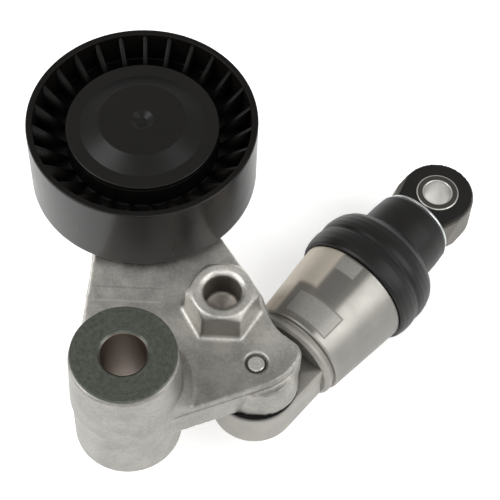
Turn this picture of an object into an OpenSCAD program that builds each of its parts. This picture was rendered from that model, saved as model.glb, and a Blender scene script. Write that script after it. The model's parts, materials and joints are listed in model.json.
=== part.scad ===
// Hydraulic belt tensioner: a smooth idler pulley on a cast arm that turns on a
// bolt-through pivot sleeve, held out by a spring-loaded, oil-damped strut.
// Frame: origin on the pivot axis at the sleeve's lower face, +Z up the pivot,
// +Y from the pivot towards the pulley.

/* [Pulley] */
// Outside diameter of the smooth running face
pulley_d = 65; // [60:1:70]
// Width of the running face
pulley_w = 24.2; // [22:0.1:26]
// Distance from the pivot axis to the pulley axis
pulley_reach = 70.7; // [68:0.1:76]
// Height of the pulley's lower edge above the pivot sleeve's foot
pulley_base = 24; // [23.5:0.1:26]
// Wall thickness of the rim
rim_wall = 1.9; // [1.5:0.1:2.5]
// Number of stiffening ribs on each side of the web
rib_count = 27; // [20:1:36]
// Thickness of each rib
rib_t = 1.1; // [0.8:0.1:1.4]
// Angle of the first rib from the +Y direction
rib_start = 2.5; // [-6:0.1:6]

/* [Pulley bearing] */
// Bore of the deep groove ball bearing
bearing_bore = 17; // [17:0.1:17.2]
// Outside diameter of the bearing
bearing_od = 40; // [39:0.5:40]
// Width of the bearing
bearing_w = 12; // [11:0.5:12]
// Diameter of each ball
ball_d = 6.75; // [6:0.05:6.8]
// Number of balls
ball_count = 8; // [6:1:9]

/* [Pivot] */
// Bore of the pivot sleeve, for a 12 mm bolt
pivot_bore = 12.5; // [12.2:0.1:13]
// Length of the pivot sleeve over its flange
pivot_len = 41.6; // [40:0.1:43]
// Diameter of the sleeve's top flange
flange_d = 28.4; // [27:0.1:29]
// Thickness of the sleeve's top flange
flange_t = 0.6; // [0.6:0.1:2]
// Outside diameter of the pivot sleeve
sleeve_d = 19; // [18:0.1:20]
// Wall thickness of the two pivot bushes
bush_wall = 1.5; // [1:0.1:2]

/* [Arm] */
// Height of the arm plate's underside
plate_z0 = 12; // [11:0.1:13]
// Height of the arm plate's top face
plate_z1 = 22; // [21:0.1:22.5]
// Radius of the pivot boss where the mould halves met
boss_r = 15.3; // [15:0.1:16]
// Width across flats of the wrench hexagon at its foot
hex_af = 18.7; // [17:0.1:19]
// Height of the wrench hexagon above the plate
hex_h = 10; // [8:0.5:11]
// Position of the wrench hexagon along X
hex_x = 24.6; // [24:0.1:25]
// Position of the wrench hexagon along Y
hex_y = 26.2; // [25.5:0.1:27]
// Diameter of the blind hole in the hexagon
hex_hole_d = 10.3; // [8:0.1:11]
// Depth of the blind hole in the hexagon
hex_hole_depth = 9; // [6:0.5:12]

/* [Strut] */
// Position of the strut's lower pin along X
pin_x = 34.7; // [34:0.1:35.5]
// Position of the strut's lower pin along Y
pin_y = 9.6; // [9:0.1:10]
// Diameter of the strut's lower pin
pin_d = 6; // [5.5:0.1:6.2]
// Direction of the strut in the XY plane, from +X
strut_angle = 52; // [50:0.5:53]
// Height of the strut's axis
strut_z = 3.6; // [3:0.1:3.6]
// Distance between the strut's two fixing axes when fully out
strut_len = 85.5; // [84:0.5:87]
// Radius of the strut's lower ear
ear_r = 12.2; // [11:0.1:12.4]
// Thickness of the strut's lower ear
ear_t = 13.6; // [12:0.1:13.6]
// Radius of the cylinder at its closed end
cyl_r0 = 15; // [14:0.1:15.2]
// Radius of the cylinder at its open end
cyl_r1 = 17.4; // [17:0.1:17.6]
// Bore of the hardened pressure sleeve
plunger_bore = 11; // [10:0.1:11.4]
// Radius of the upper eye's outline
eye_r = 11; // [10:0.05:11.2]
// Thickness of the upper eye over its rubber faces
eye_t = 12.6; // [12:0.1:13]
// Bore of the steel sleeve in the upper eye, for an 8 mm bolt
eye_bore = 8.2; // [8.1:0.1:8.6]
// Number of turns of the return spring
spring_turns = 7; // [5:1:8]
// Wire diameter of the return spring
spring_wire = 2.2; // [1.8:0.1:2.4]

/* [Hidden] */
fine = 96;       // sides of a true circle
small = 48;      // sides of a small true circle
run_gap = 0.04;  // radial clearance of every running fit
eps = 0.01;      // overlap that joins the shapes of one solid
big = 200;       // longer than anything that is cut

// pivot
bush_ir = sleeve_d / 2 + run_gap;
bush_or = bush_ir + bush_wall;
flange_z = pivot_len - flange_t;
bush_flange_t = 0.6;
boss_top = flange_z - 0.05 - bush_flange_t;
boss_foot = 0.4;
bush_len = 15.5;
boss_top_r = flange_d / 2 + 0.4;
boss_foot_r = boss_r - 0.4;
parting_z = plate_z1 - 1.5;
hex_top_r = 8.5;

// pulley
rim_r = pulley_d / 2;
rim_top = pulley_base + pulley_w;
bearing_z = pulley_base + 4;
bearing_top = bearing_z + bearing_w;
hub_ir = bearing_od / 2;
hub_or = hub_ir + 1.5;
hub_lip_r = 18.6;
hub_foot = bearing_z - 1.4;
cap_seat = rim_top - 4;
web_z = pulley_base + pulley_w / 2;
web_t = 2.8;
ball_r = ball_d / 2;
pitch_r = (bearing_bore + bearing_od) / 4;
race_gap = 0.1;
inner_ring_r = 12;
outer_ring_r = 16.5;
bearing_mid = bearing_z + bearing_w / 2;
seal_t = 0.9;
cage_half = 4.2;
shield_t = 1.2;
post_r = 11;
bolt_r = 4.95;
bolt_hole_r = 5;
bolt_head_af = 15;
bolt_head_z = bearing_top + 1.5;
bolt_head_h = 4.6;

// strut, with s measured along its axis from the lower pin
pin_r = pin_d / 2;
ear_lo = strut_z - ear_t / 2;
ear_hi = strut_z + ear_t / 2;
lug_lo = ear_hi + 1;
pin_foot = ear_lo - 2.4;
pin_top = plate_z1 - 0.35;
spacer_r = 12;
lug_shift = 1.3;
cyl_s0 = 15.2;
groove_s = 17.5;
groove_w = 1.1;
cyl_s1 = 47;
rebate_s = 44.5;
rebate_r = 16.4;
cavity_r = 12.6;
cavity_s = 21.5;
liner_r = 8;
liner_s1 = 48.8;
bore_r = plunger_bore / 2;
plunger_r = bore_r - run_gap;
plunger_s0 = 41;
seat_s = 61.6;
seat_t = 1.2;
seat_r = 11.6;
head_s = seat_s + seat_t;
head_r = 9.8;
cuff_top = 75.2;
cuff_ring_t = 0.8;
shoulder_s = 76.5;
spring_r = 10.1;
valve_s = cavity_s + 1.8;
valve_hole_r = 1.2;
check_r = 1.6;
check_s = valve_s + sqrt(check_r * check_r - valve_hole_r * valve_hole_r);
cage_h = 4.9;
cage_r = 4;
rubber_face_t = 0.8;
rubber_r = 6.4;

// the arm plate's top outline, anticlockwise from the pivot boss's front
plate_edge = [[8, -9.4], [15.8, -6.2], [33.5, 1.3], [38.9, 3.7], [41.7, 5.7], [43.9, 7.9],
    [45.6, 10.6], [46.5, 13.2], [46.4, 14.9], [45.6, 16.2], [43.9, 17.5], [41.1, 19.7], [38.8, 22.4],
    [37, 26.6], [35.2, 31.6], [29.1, 40.8], [13.4, 64.8], [0, 76], [-12.6, 70.7], [-12.4, 41.6],
    [-13.4, 20], [-13.8, 4], [-6, -8]];
// the two pockets that lighten the plate's underside
pocket_a = [[-8.2, 19.5], [3.2, 19.5], [3.2, 40], [-8.2, 40]];
pocket_b = [[-8.2, 43.4], [3.6, 43.4], [3.6, 55], [-8.2, 55]];
pocket_c = [[6.8, 43.4], [18.2, 43.4], [10.2, 55], [6.8, 55]];

// Places its children with local +Z along the strut, from the lower pin
module on_strut() {
    translate([pin_x, pin_y, strut_z])
        rotate([0, 0, strut_angle])
            rotate([0, 90, 0])
                children();
}

// Places its children at the lower pin, turned so that +X runs along the strut
module at_pin(z = 0) {
    translate([pin_x, pin_y, z])
        rotate([0, 0, strut_angle])
            children();
}

// Places its children on the pulley axis
module at_pulley(z = 0) {
    translate([0, pulley_reach, z])
        children();
}

// A solid of revolution from a list of [radius, height] points
module turned(profile, sides = fine) {
    rotate_extrude($fn = sides)
        polygon(profile);
}

// A plain ring
module ring(r_out, r_in, z0, z1, sides = fine) {
    turned([[r_in, z0], [r_out, z0], [r_out, z1], [r_in, z1]], sides);
}

// One wire ring's points on a helix of pitch p
function coil_point(a, b, r, w, p) =
    [(r + w * cos(b)) * cos(a), (r + w * cos(b)) * sin(a), p * a / 360 + w * sin(b)];

// A coil spring along +Z from z = 0, with its ends cut square to the wire
module coil(r, wire_r, turns, height, per_turn = 14, sides = 8) {
    pitch = (height - 2 * wire_r) / turns;
    rings = turns * per_turn;
    points = [for (i = [0:rings]) for (j = [0:sides - 1])
        coil_point(i * 360 / per_turn, j * 360 / sides, r, wire_r, pitch)];
    walls = [for (i = [0:rings - 1]) for (j = [0:sides - 1])
        [i * sides + j, (i + 1) * sides + j, (i + 1) * sides + (j + 1) % sides, i * sides + (j + 1) % sides]];
    first = [[for (j = [0:sides - 1]) j]];
    last = [[for (j = [0:sides - 1]) rings * sides + sides - 1 - j]];
    translate([0, 0, wire_r])
        polyhedron(points, concat(walls, first, last));
}

// ---- pivot ----

module pivot_sleeve() {
    color("#5b625c")
        turned([[pivot_bore / 2, 0], [sleeve_d / 2 - 0.4, 0], [sleeve_d / 2, 0.4],
            [sleeve_d / 2, flange_z], [flange_d / 2 - 0.2, flange_z], [flange_d / 2, flange_z + 0.2],
            [flange_d / 2, pivot_len - 0.3], [flange_d / 2 - 0.3, pivot_len],
            [pivot_bore / 2 + 0.3, pivot_len], [pivot_bore / 2, pivot_len - 0.4]]);
}

module upper_pivot_bush() {
    color("#b9b4a6")
        turned([[bush_ir, boss_top - bush_len], [bush_or, boss_top - bush_len], [bush_or, boss_top],
            [flange_d / 2 - 0.8, boss_top], [flange_d / 2 - 0.8, boss_top + bush_flange_t],
            [bush_ir, boss_top + bush_flange_t]]);
}

module lower_pivot_bush() {
    color("#b9b4a6")
        ring(bush_or, bush_ir, boss_foot, boss_foot + bush_len);
}

// ---- arm ----

module plate_outline() {
    polygon(plate_edge);
    translate([0, pulley_reach])
        circle(r = 14, $fn = fine);
}

module pivot_boss() {
    turned([[0, boss_foot], [boss_foot_r - 0.4, boss_foot], [boss_foot_r, boss_foot + 0.4],
        [boss_r - 0.5, parting_z - 0.6], [boss_r, parting_z], [boss_top_r, boss_top - 0.5],
        [boss_top_r - 0.5, boss_top], [0, boss_top]]);
}

// The blend of the boss into the plate's top face
module boss_blend() {
    intersection() {
        translate([0, 0, plate_z1 - 1])
            cylinder(r1 = boss_r + 4.2, r2 = boss_r - 0.6, h = 5, $fn = fine);
        translate([0, 0, plate_z1 - 2])
            linear_extrude(height = 7)
                polygon(plate_edge);
    }
}

module wrench_hex() {
    foot_r = hex_af / 2 / cos(30);
    top_r = foot_r - 0.6;
    translate([hex_x, hex_y, plate_z1 - 1])
        intersection() {
            cylinder(r1 = foot_r, r2 = top_r, h = hex_h + 1, $fn = 6);
            turned([[0, 0], [foot_r, 0], [foot_r, hex_h - 1.2], [hex_top_r, hex_h + 1],
                [0, hex_h + 1]]);
        }
    translate([hex_x, hex_y, plate_z1 - 1])
        cylinder(r1 = foot_r + 1.3, r2 = foot_r - 0.2, h = 2.2, $fn = 6);
}

module strut_lug() {
    for (shift = [0, lug_shift])
        translate([pin_x + shift, pin_y, lug_lo])
            cylinder(r1 = 10.9, r2 = 9.2, h = plate_z1 - 2 - lug_lo, $fn = fine);
}

module pulley_post() {
    spigot_r = bearing_bore / 2 - 0.01;
    shoulder = bearing_z - shield_t;
    at_pulley()
        turned([[0, plate_z1 - 1], [post_r + 1.2, plate_z1 - 1], [post_r, plate_z1 + 1.2],
            [post_r, shoulder], [spigot_r, shoulder], [spigot_r, bearing_mid + 3.5],
            [spigot_r - 0.5, bearing_mid + 4], [0, bearing_mid + 4]]);
}

module hex_hole() {
    mouth_r = hex_hole_d / 2 + 1.25;
    translate([hex_x, hex_y, plate_z1 + hex_h])
        turned([[0, -hex_hole_depth - 2], [hex_hole_d / 2, -hex_hole_depth], [hex_hole_d / 2, -1.2],
            [mouth_r, 0], [mouth_r, 1], [0, 1]], small);
}

// The pin's hole, countersunk at the plate's top face
module pin_hole() {
    sink = 0.5;
    translate([pin_x, pin_y, 0])
        turned([[0, 0], [pin_r, 0], [pin_r, plate_z1 - sink], [pin_r + sink, plate_z1],
            [pin_r + sink, plate_z1 + 1], [0, plate_z1 + 1]], small);
}

module underside_pockets() {
    translate([0, 0, plate_z0 - 1])
        linear_extrude(height = 5.5)
            for (p = [pocket_a, pocket_b, pocket_c])
                polygon(p);
}

// Clears the strut's cylinder where it passes below the plate's edge
module strut_relief() {
    translate([pin_x, pin_y, strut_z])
        rotate([0, 90, strut_angle + 2])
            translate([0, 0, cyl_s0 - 0.6])
                cylinder(r1 = cyl_r0 + 0.5, r2 = cyl_r1 + 0.5, h = cyl_s1 - cyl_s0, $fn = fine);
}

module arm_casting() {
    color("#a3a4a2")
        difference() {
            union() {
                pivot_boss();
                boss_blend();
                translate([0, 0, parting_z - 0.5])
                    linear_extrude(height = plate_z1 - parting_z + 0.5)
                        plate_outline();
                translate([0, 0, plate_z0])
                    linear_extrude(height = parting_z - plate_z0)
                        offset(delta = 0.6)
                            plate_outline();
                wrench_hex();
                strut_lug();
                pulley_post();
            }
            translate([0, 0, -1])
                cylinder(r = bush_or, h = big / 2, $fn = fine);
            pin_hole();
            at_pulley()
                cylinder(r = bolt_hole_r, h = big / 2, $fn = small);
            hex_hole();
            underside_pockets();
            strut_relief();
        }
}

// ---- pulley and its bearing ----

module pulley_bolt() {
    color("#8d9092")
        at_pulley()
            difference() {
                union() {
                    translate([0, 0, plate_z0 + 1])
                        cylinder(r = bolt_r, h = bearing_top - plate_z0 - 0.5, $fn = small);
                    translate([0, 0, bearing_top])
                        cylinder(r = 10.2, h = bolt_head_z - bearing_top + eps, $fn = fine);
                    translate([0, 0, bolt_head_z])
                        cylinder(r = bolt_head_af / 2 / cos(30), h = bolt_head_h, $fn = 6);
                }
                translate([0, 0, bolt_head_z + 1.4])
                    cylinder(r = 4.2, h = bolt_head_h, $fn = small);
            }
}

module rear_dust_shield() {
    color("#9b9d9c")
        at_pulley()
            ring(18.1, bearing_bore / 2, bearing_z - shield_t, bearing_z);
}

// A groove of revolution that clears the balls
module ball_race() {
    translate([0, 0, bearing_mid])
        rotate_extrude($fn = fine)
            translate([pitch_r, 0])
                circle(r = ball_r + race_gap, $fn = small);
}

module bearing_inner_ring() {
    color("#b8babb")
        at_pulley()
            difference() {
                ring(inner_ring_r, bearing_bore / 2, bearing_z, bearing_top);
                ball_race();
            }
}

module bearing_outer_ring() {
    color("#b8babb")
        at_pulley()
            difference() {
                ring(hub_ir, outer_ring_r, bearing_z, bearing_top);
                ball_race();
            }
}

module on_each_ball() {
    for (i = [0:ball_count - 1])
        rotate([0, 0, i * 360 / ball_count])
            translate([pitch_r, 0, bearing_mid])
                children();
}

module bearing_balls() {
    color("#d4d6d8")
        at_pulley()
            on_each_ball()
                sphere(r = ball_r, $fn = small);
}

module bearing_cage() {
    color("#a58a4a")
        at_pulley()
            difference() {
                ring(pitch_r + 0.9, pitch_r - 0.9, bearing_mid - cage_half, bearing_mid + cage_half);
                on_each_ball()
                    sphere(r = ball_r + 0.06, $fn = small);
            }
}

module bearing_seal(z) {
    color("#2b2b2c")
        at_pulley()
            ring(outer_ring_r, inner_ring_r + 0.1, z, z + seal_t);
}

module front_bearing_seal() {
    bearing_seal(bearing_top - 0.4 - seal_t);
}

module rear_bearing_seal() {
    bearing_seal(bearing_z + 0.4);
}

// One gusset through the web: as high as the rim outside, down to the web at the hub
module rib() {
    rim_ir = rim_r - rim_wall;
    rise = web_t / 2 - 0.2;
    translate([0, rib_t / 2, 0])
        rotate([90, 0, 0])
            linear_extrude(height = rib_t)
                polygon([[hub_or - 0.8, web_z - rise], [rim_ir, pulley_base + 0.6],
                    [rim_ir + 0.6, pulley_base + 0.6], [rim_ir + 0.6, rim_top - 0.6],
                    [rim_ir, rim_top - 0.6], [hub_or - 0.8, web_z + rise]]);
}

module pulley_wheel() {
    color("#1b1b1c")
        at_pulley()
            union() {
                turned([[hub_lip_r, hub_foot], [hub_or, hub_foot], [hub_or, web_z - web_t / 2],
                    [rim_r - rim_wall, web_z - web_t / 2], [rim_r - rim_wall, pulley_base + 0.5],
                    [rim_r - rim_wall + 0.5, pulley_base], [rim_r - 0.6, pulley_base],
                    [rim_r, pulley_base + 0.6], [rim_r, rim_top - 0.6], [rim_r - 0.6, rim_top],
                    [rim_r - rim_wall + 0.5, rim_top], [rim_r - rim_wall, rim_top - 0.5],
                    [rim_r - rim_wall, web_z + web_t / 2], [hub_or, web_z + web_t / 2],
                    [hub_or, cap_seat], [hub_ir, cap_seat], [hub_ir, bearing_z],
                    [hub_lip_r, bearing_z]]);
                for (i = [0:rib_count - 1])
                    rotate([0, 0, 90 + rib_start + i * 360 / rib_count])
                        rib();
            }
}

module dust_cap() {
    skin = 1.5;
    disc_z = cap_seat + skin;
    top = rim_top + 0.1;
    color("#2a2b2d")
        at_pulley()
            turned([[0, top - 1 - skin], [3.4, top - 1 - skin], [3.4, top - skin],
                [11.6, top - skin], [16.4, disc_z - skin], [18.6, disc_z - skin],
                [18.6, bearing_top + 0.4], [hub_ir, bearing_top + 0.4], [hub_ir, cap_seat],
                [21.6, cap_seat], [21.6, disc_z - 0.2], [21.4, disc_z], [17.6, disc_z],
                [12.4, top - 0.2], [12.1, top], [3.3, top], [1.3, top - 1], [0, top - 1]]);
}

// ---- the strut's lower pin ----

module strut_pin() {
    chamfer = 0.9;
    color("#c3c4c2")
        translate([pin_x, pin_y, 0])
            turned([[0, pin_foot], [pin_r - chamfer, pin_foot], [pin_r, pin_foot + chamfer],
                [pin_r, ear_lo - 1.5], [pin_r - 0.5, ear_lo - 1.5], [pin_r - 0.5, ear_lo - 0.8],
                [pin_r, ear_lo - 0.8], [pin_r, pin_top - chamfer], [pin_r - chamfer, pin_top],
                [0, pin_top]], small);
}

module pin_spacer() {
    color("#1b1b1c")
        translate([pin_x, pin_y, 0])
            ring(spacer_r, pin_r, ear_hi + 0.05, lug_lo, fine);
}

module pin_washer() {
    color("#9fa19f")
        translate([pin_x, pin_y, 0])
            ring(6, pin_r, ear_lo - 0.8, ear_lo - 0.05, small);
}

module pin_clip() {
    color("#6c6e70")
        translate([pin_x, pin_y, 0])
            difference() {
                ring(5, pin_r - 0.5, ear_lo - 1.5, ear_lo - 0.8, small);
                translate([0, -1.6, ear_lo - 3])
                    cube([10, 3.2, 4]);
            }
}

module ear_bush() {
    color("#b08d57")
        translate([pin_x, pin_y, 0])
            ring(pin_r + run_gap + 1.2, pin_r + run_gap, ear_lo, ear_hi, small);
}

// ---- strut cylinder ----

module ear_and_neck() {
    lead = 1.4;
    at_pin(ear_lo) {
        cylinder(r1 = ear_r - lead, r2 = ear_r, h = lead + eps, $fn = fine);
        translate([0, 0, lead])
            cylinder(r = ear_r, h = ear_t - lead, $fn = fine);
        translate([0, -ear_r, lead])
            cube([cyl_s0 + 2, 2 * ear_r, ear_t - lead]);
        translate([0, -ear_r + lead, 0])
            cube([cyl_s0 + 2, 2 * (ear_r - lead), lead + eps]);
    }
}

module strut_cylinder() {
    color("#b4b3b0")
        difference() {
            union() {
                ear_and_neck();
                on_strut()
                    turned([[0, cyl_s0], [cyl_r0 - 1.6, cyl_s0], [cyl_r0 - 0.7, cyl_s0 + 0.9],
                        [cyl_r0 - 0.6, groove_s], [cyl_r0 - 1.4, groove_s + 0.2],
                        [cyl_r0 - 1.4, groove_s + groove_w - 0.2], [cyl_r0 - 0.4, groove_s + groove_w],
                        [cyl_r0, groove_s + groove_w + 0.5], [cyl_r1, rebate_s], [rebate_r, rebate_s],
                        [rebate_r, cyl_s1], [0, cyl_s1]]);
            }
            translate([pin_x, pin_y, -big / 2])
                cylinder(r = pin_r + run_gap + 1.2, h = big, $fn = small);
            on_strut()
                translate([0, 0, cavity_s])
                    cylinder(r = cavity_r, h = big, $fn = fine);
        }
}

module pressure_sleeve() {
    color("#8b8d90")
        on_strut()
            turned([[bore_r, cavity_s], [liner_r, cavity_s], [liner_r, liner_s1 - 0.5],
                [liner_r - 0.5, liner_s1], [bore_r + 0.4, liner_s1], [bore_r, liner_s1 - 0.4]]);
}

module valve_seat() {
    color("#9a9c9e")
        on_strut()
            ring(bore_r, valve_hole_r, cavity_s, valve_s, small);
}

module check_ball() {
    color("#d4d6d8")
        on_strut()
            translate([0, 0, check_s + 0.03])
                sphere(r = check_r, $fn = small);
}

module valve_cage() {
    inner = cage_r - 0.5;
    roof = valve_s + cage_h;
    color("#a7a9ab")
        on_strut()
            difference() {
                turned([[inner, valve_s], [bore_r, valve_s], [bore_r, valve_s + 0.5],
                    [cage_r, valve_s + 0.5], [cage_r, roof], [0.8, roof], [0.8, roof - 0.5],
                    [inner, roof - 0.5]], small);
                for (a = [0, 90])
                    rotate([0, 0, a])
                        translate([-cage_r - 1, -0.8, valve_s + 1.2])
                            cube([2 * cage_r + 2, 1.6, 2]);
            }
}

module valve_spring() {
    foot = check_s + 1.1;
    height = valve_s + cage_h - 0.5 - foot;
    color("#c9cbcd")
        on_strut()
            translate([0, 0, foot])
                coil(1.5, 0.16, 3, height, 12, 6);
}

module return_spring() {
    color("#4a4c50")
        on_strut()
            translate([0, 0, cavity_s])
                coil(spring_r, spring_wire / 2, spring_turns, seat_s - cavity_s);
}

module rubber_boot() {
    color("#1d1d1e")
        on_strut()
            turned([[rebate_r, rebate_s + 0.1], [18.1, rebate_s + 0.1], [18.6, rebate_s + 0.8],
                [19, 47], [19.1, 49.2], [18.9, 50.9], [18.5, 51.9], [18.9, 52.9], [19, 54.4],
                [18.7, 56.4], [18.1, 58.4], [17.1, 60],
                [15.6, 61.2], [14, 62], [13.2, 62.7], [12.8, 64], [12.6, 66], [12.5, 70],
                [12.1, 74], [11.4, cuff_top], [head_r, cuff_top], [head_r, head_s + 1.4],
                [seat_r + 0.3, head_s + 0.6], [seat_r + 0.3, seat_s - 0.6], [13.6, 60],
                [15.4, 58.6], [16.6, 56.4], [17.2, 53], [17.2, 48], [rebate_r, cyl_s1]]);
}

// ---- rod ----

module plunger() {
    color("#c7c9cb")
        on_strut()
            turned([[0, plunger_s0], [plunger_r - 0.5, plunger_s0], [plunger_r, plunger_s0 + 0.5],
                [plunger_r, head_s + 4], [0, head_s + 4]], small);
}

module spring_seat() {
    color("#777a7d")
        on_strut()
            ring(seat_r, plunger_r, seat_s, head_s);
}

module eye_outline(r) {
    circle(r = r, $fn = fine);
    translate([cuff_top + cuff_ring_t - strut_len, -r])
        square([strut_len - cuff_top - cuff_ring_t, 2 * r]);
}

module eye_solid(r, t) {
    at_pin(strut_z - t / 2)
        translate([strut_len, 0, 0])
            linear_extrude(height = t)
                eye_outline(r);
}

module at_eye(z = 0) {
    at_pin(z)
        translate([strut_len, 0, 0])
            children();
}

// The metal eye: flat above and below, its edges turned down to a cone at the shoulder
module eye_block() {
    corner_r = eye_r + 1.7;
    intersection() {
        eye_solid(eye_r, eye_t - 2 * rubber_face_t);
        on_strut()
            turned([[0, cuff_top], [10.4, cuff_top], [corner_r, shoulder_s + 6],
                [corner_r, strut_len + corner_r], [0, strut_len + corner_r]]);
    }
}

module rod_head() {
    color("#a9aaa8")
        difference() {
            union() {
                on_strut()
                    turned([[plunger_r, head_s], [head_r, head_s], [head_r, cuff_top + cuff_ring_t],
                        [10.9, cuff_top + cuff_ring_t], [10.7, shoulder_s], [0, shoulder_s],
                        [0, head_s + 4], [plunger_r, head_s + 4]]);
                eye_block();
            }
            at_eye(-big / 2)
                cylinder(r = rubber_r + 1.6, h = big, $fn = fine);
        }
}

// The flat rubber face: round at the bolt, narrower towards the rod head's shoulder
module rubber_face() {
    face_r = eye_r - 0.5;
    waist = shoulder_s - strut_len;
    intersection() {
        union() {
            circle(r = face_r, $fn = fine);
            polygon([[waist, -8.3], [-3.2, -face_r * cos(18)], [-3.2, face_r * cos(18)], [waist, 8.3]]);
        }
        translate([waist, -face_r])
            square([face_r - waist, 2 * face_r]);
    }
}

module eye_rubber() {
    color("#19191a")
        at_eye()
            difference() {
                union() {
                    translate([0, 0, strut_z - eye_t / 2 + rubber_face_t])
                        cylinder(r = rubber_r + 1.6, h = eye_t - 2 * rubber_face_t, $fn = fine);
                    for (z = [strut_z - eye_t / 2, strut_z + eye_t / 2 - rubber_face_t])
                        translate([0, 0, z])
                            linear_extrude(height = rubber_face_t)
                                rubber_face();
                }
                translate([0, 0, -big / 2])
                    cylinder(r = rubber_r, h = big, $fn = fine);
            }
}

module eye_sleeve() {
    lo = strut_z - eye_t / 2 - 0.2;
    hi = strut_z + eye_t / 2 + 0.2;
    color("#b7babb")
        at_eye()
            turned([[eye_bore / 2, lo], [rubber_r - 0.5, lo], [rubber_r, lo + 0.5],
                [rubber_r, hi - 0.5], [rubber_r - 0.5, hi], [eye_bore / 2, hi]], small);
}

module boot_ring() {
    color("#c8cacc")
        on_strut()
            ring(11.3, head_r, cuff_top, cuff_top + cuff_ring_t);
}

pivot_sleeve();
arm_casting();
upper_pivot_bush();
lower_pivot_bush();
pulley_bolt();
rear_dust_shield();
bearing_inner_ring();
bearing_outer_ring();
bearing_balls();
bearing_cage();
front_bearing_seal();
rear_bearing_seal();
pulley_wheel();
dust_cap();
strut_pin();
pin_spacer();
pin_washer();
pin_clip();
ear_bush();
strut_cylinder();
pressure_sleeve();
valve_seat();
check_ball();
valve_spring();
valve_cage();
return_spring();
plunger();
spring_seat();
rod_head();
eye_rubber();
eye_sleeve();
rubber_boot();
boot_ring();
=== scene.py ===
# %% [markdown]
# # A hydraulic belt tensioner, finished in Blender
# The real object keeps an engine's accessory belt tight. A smooth idler pulley runs on a cast arm,
# the arm turns about a bolted sleeve, and an oil-damped spring strut pushes it outwards.
# The CAD model settles every size and every joint, so it is loaded first and never moved. This
# lesson then gives each piece its finish, and rebuilds as finer meshes those whose look depends on
# small radii, ribs, folds or casting blends.

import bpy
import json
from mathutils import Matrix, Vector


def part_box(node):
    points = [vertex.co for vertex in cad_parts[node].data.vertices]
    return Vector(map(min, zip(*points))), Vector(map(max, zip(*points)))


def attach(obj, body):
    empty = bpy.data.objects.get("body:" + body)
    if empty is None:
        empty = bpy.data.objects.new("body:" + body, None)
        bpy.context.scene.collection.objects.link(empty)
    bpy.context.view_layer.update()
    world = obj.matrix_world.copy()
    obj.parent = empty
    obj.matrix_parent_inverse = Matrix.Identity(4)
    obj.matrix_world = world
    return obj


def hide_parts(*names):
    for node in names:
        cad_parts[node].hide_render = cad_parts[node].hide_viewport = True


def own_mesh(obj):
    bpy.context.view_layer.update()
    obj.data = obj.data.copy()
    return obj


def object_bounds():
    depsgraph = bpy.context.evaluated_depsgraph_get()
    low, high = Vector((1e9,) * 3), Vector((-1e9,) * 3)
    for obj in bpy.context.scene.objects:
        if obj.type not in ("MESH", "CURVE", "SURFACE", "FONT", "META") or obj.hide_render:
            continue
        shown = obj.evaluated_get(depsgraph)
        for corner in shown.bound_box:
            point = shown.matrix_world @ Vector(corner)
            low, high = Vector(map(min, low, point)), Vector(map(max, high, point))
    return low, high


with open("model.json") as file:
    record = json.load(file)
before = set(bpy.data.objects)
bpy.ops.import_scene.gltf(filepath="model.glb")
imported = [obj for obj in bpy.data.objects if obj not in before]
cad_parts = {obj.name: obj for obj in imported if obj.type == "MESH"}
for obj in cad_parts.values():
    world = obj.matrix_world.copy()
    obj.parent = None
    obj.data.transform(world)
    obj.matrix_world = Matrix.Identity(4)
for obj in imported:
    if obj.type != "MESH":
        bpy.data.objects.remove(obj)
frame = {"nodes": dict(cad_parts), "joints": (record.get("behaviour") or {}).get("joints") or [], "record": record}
cad_low, cad_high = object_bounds()
print("CAD box, mm:", [round(v * 1000, 1) for v in cad_high - cad_low])

# %% Units and imports used all through
import json
import math

import bmesh
import bpy
from mathutils import Matrix, Vector

MM = 0.001
scene = bpy.context.scene
parts = frame["nodes"]
joints = {j["name"]: j for j in frame["joints"]}

# %% [markdown]
# ## Where things are
# Every piece made here has to land exactly on the CAD piece that it stands for. Copying numbers by
# hand would drift as soon as the CAD changes, so the places come from the frame: the pulley's axis
# from its node's box, and the strut's axis from its pin joint and its slide.

# %% The three axes of the machine
wheel_low, wheel_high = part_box("pulley_wheel")
wheel_r = (wheel_high.x - wheel_low.x) / 2
wheel_axis = Matrix.Translation(((wheel_low.x + wheel_high.x) / 2, (wheel_low.y + wheel_high.y) / 2, 0))
pin = Vector(joints["strut_swing"]["pos_m"])
along = Vector(joints["rod_slide"]["axis"]).normalized()
across = Vector((0, 0, 1)).cross(along)
strut_axis = Matrix.Translation(pin) @ Matrix((across.cross(along), across, along)).transposed().to_4x4()
pivot_axis = Matrix.Identity(4)
print("pulley axis, mm:", [round(v / MM, 2) for v in wheel_axis.translation])
print("strut pin, mm:", [round(v / MM, 2) for v in pin], "direction:", [round(v, 3) for v in along])


# %% [markdown]
# ## Small tools
# A material is a graph of nodes, and so is a Geometry Nodes tree. One function adds a node, fills
# its inputs and links them, so that each graph reads as a list of what it does. Colours are written
# as the hex values a painter would pick on a screen and turned to linear light in one place. No
# real surface has one flat tone, so every finish below lays one colour over another by a pattern.

# %% Adding nodes, reading colours, laying one colour over another, and starting a material
def add(tree, kind, inputs=None, **settings):
    """Adds one node. An input given as a socket is linked, anything else is set as its value."""
    node = tree.nodes.new(kind)
    for key, value in settings.items():
        setattr(node, key, value)
    for key, value in (inputs or {}).items():
        if isinstance(value, bpy.types.NodeSocket):
            tree.links.new(value, node.inputs[key])
        else:
            node.inputs[key].default_value = value
    return node


def rgb(text):
    """An sRGB hex colour as linear RGBA."""
    shares = [int(text[i:i + 2], 16) / 255 for i in (1, 3, 5)]
    return tuple(c / 12.92 if c <= 0.04045 else ((c + 0.055) / 1.055) ** 2.4 for c in shares) + (1.0,)


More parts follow.
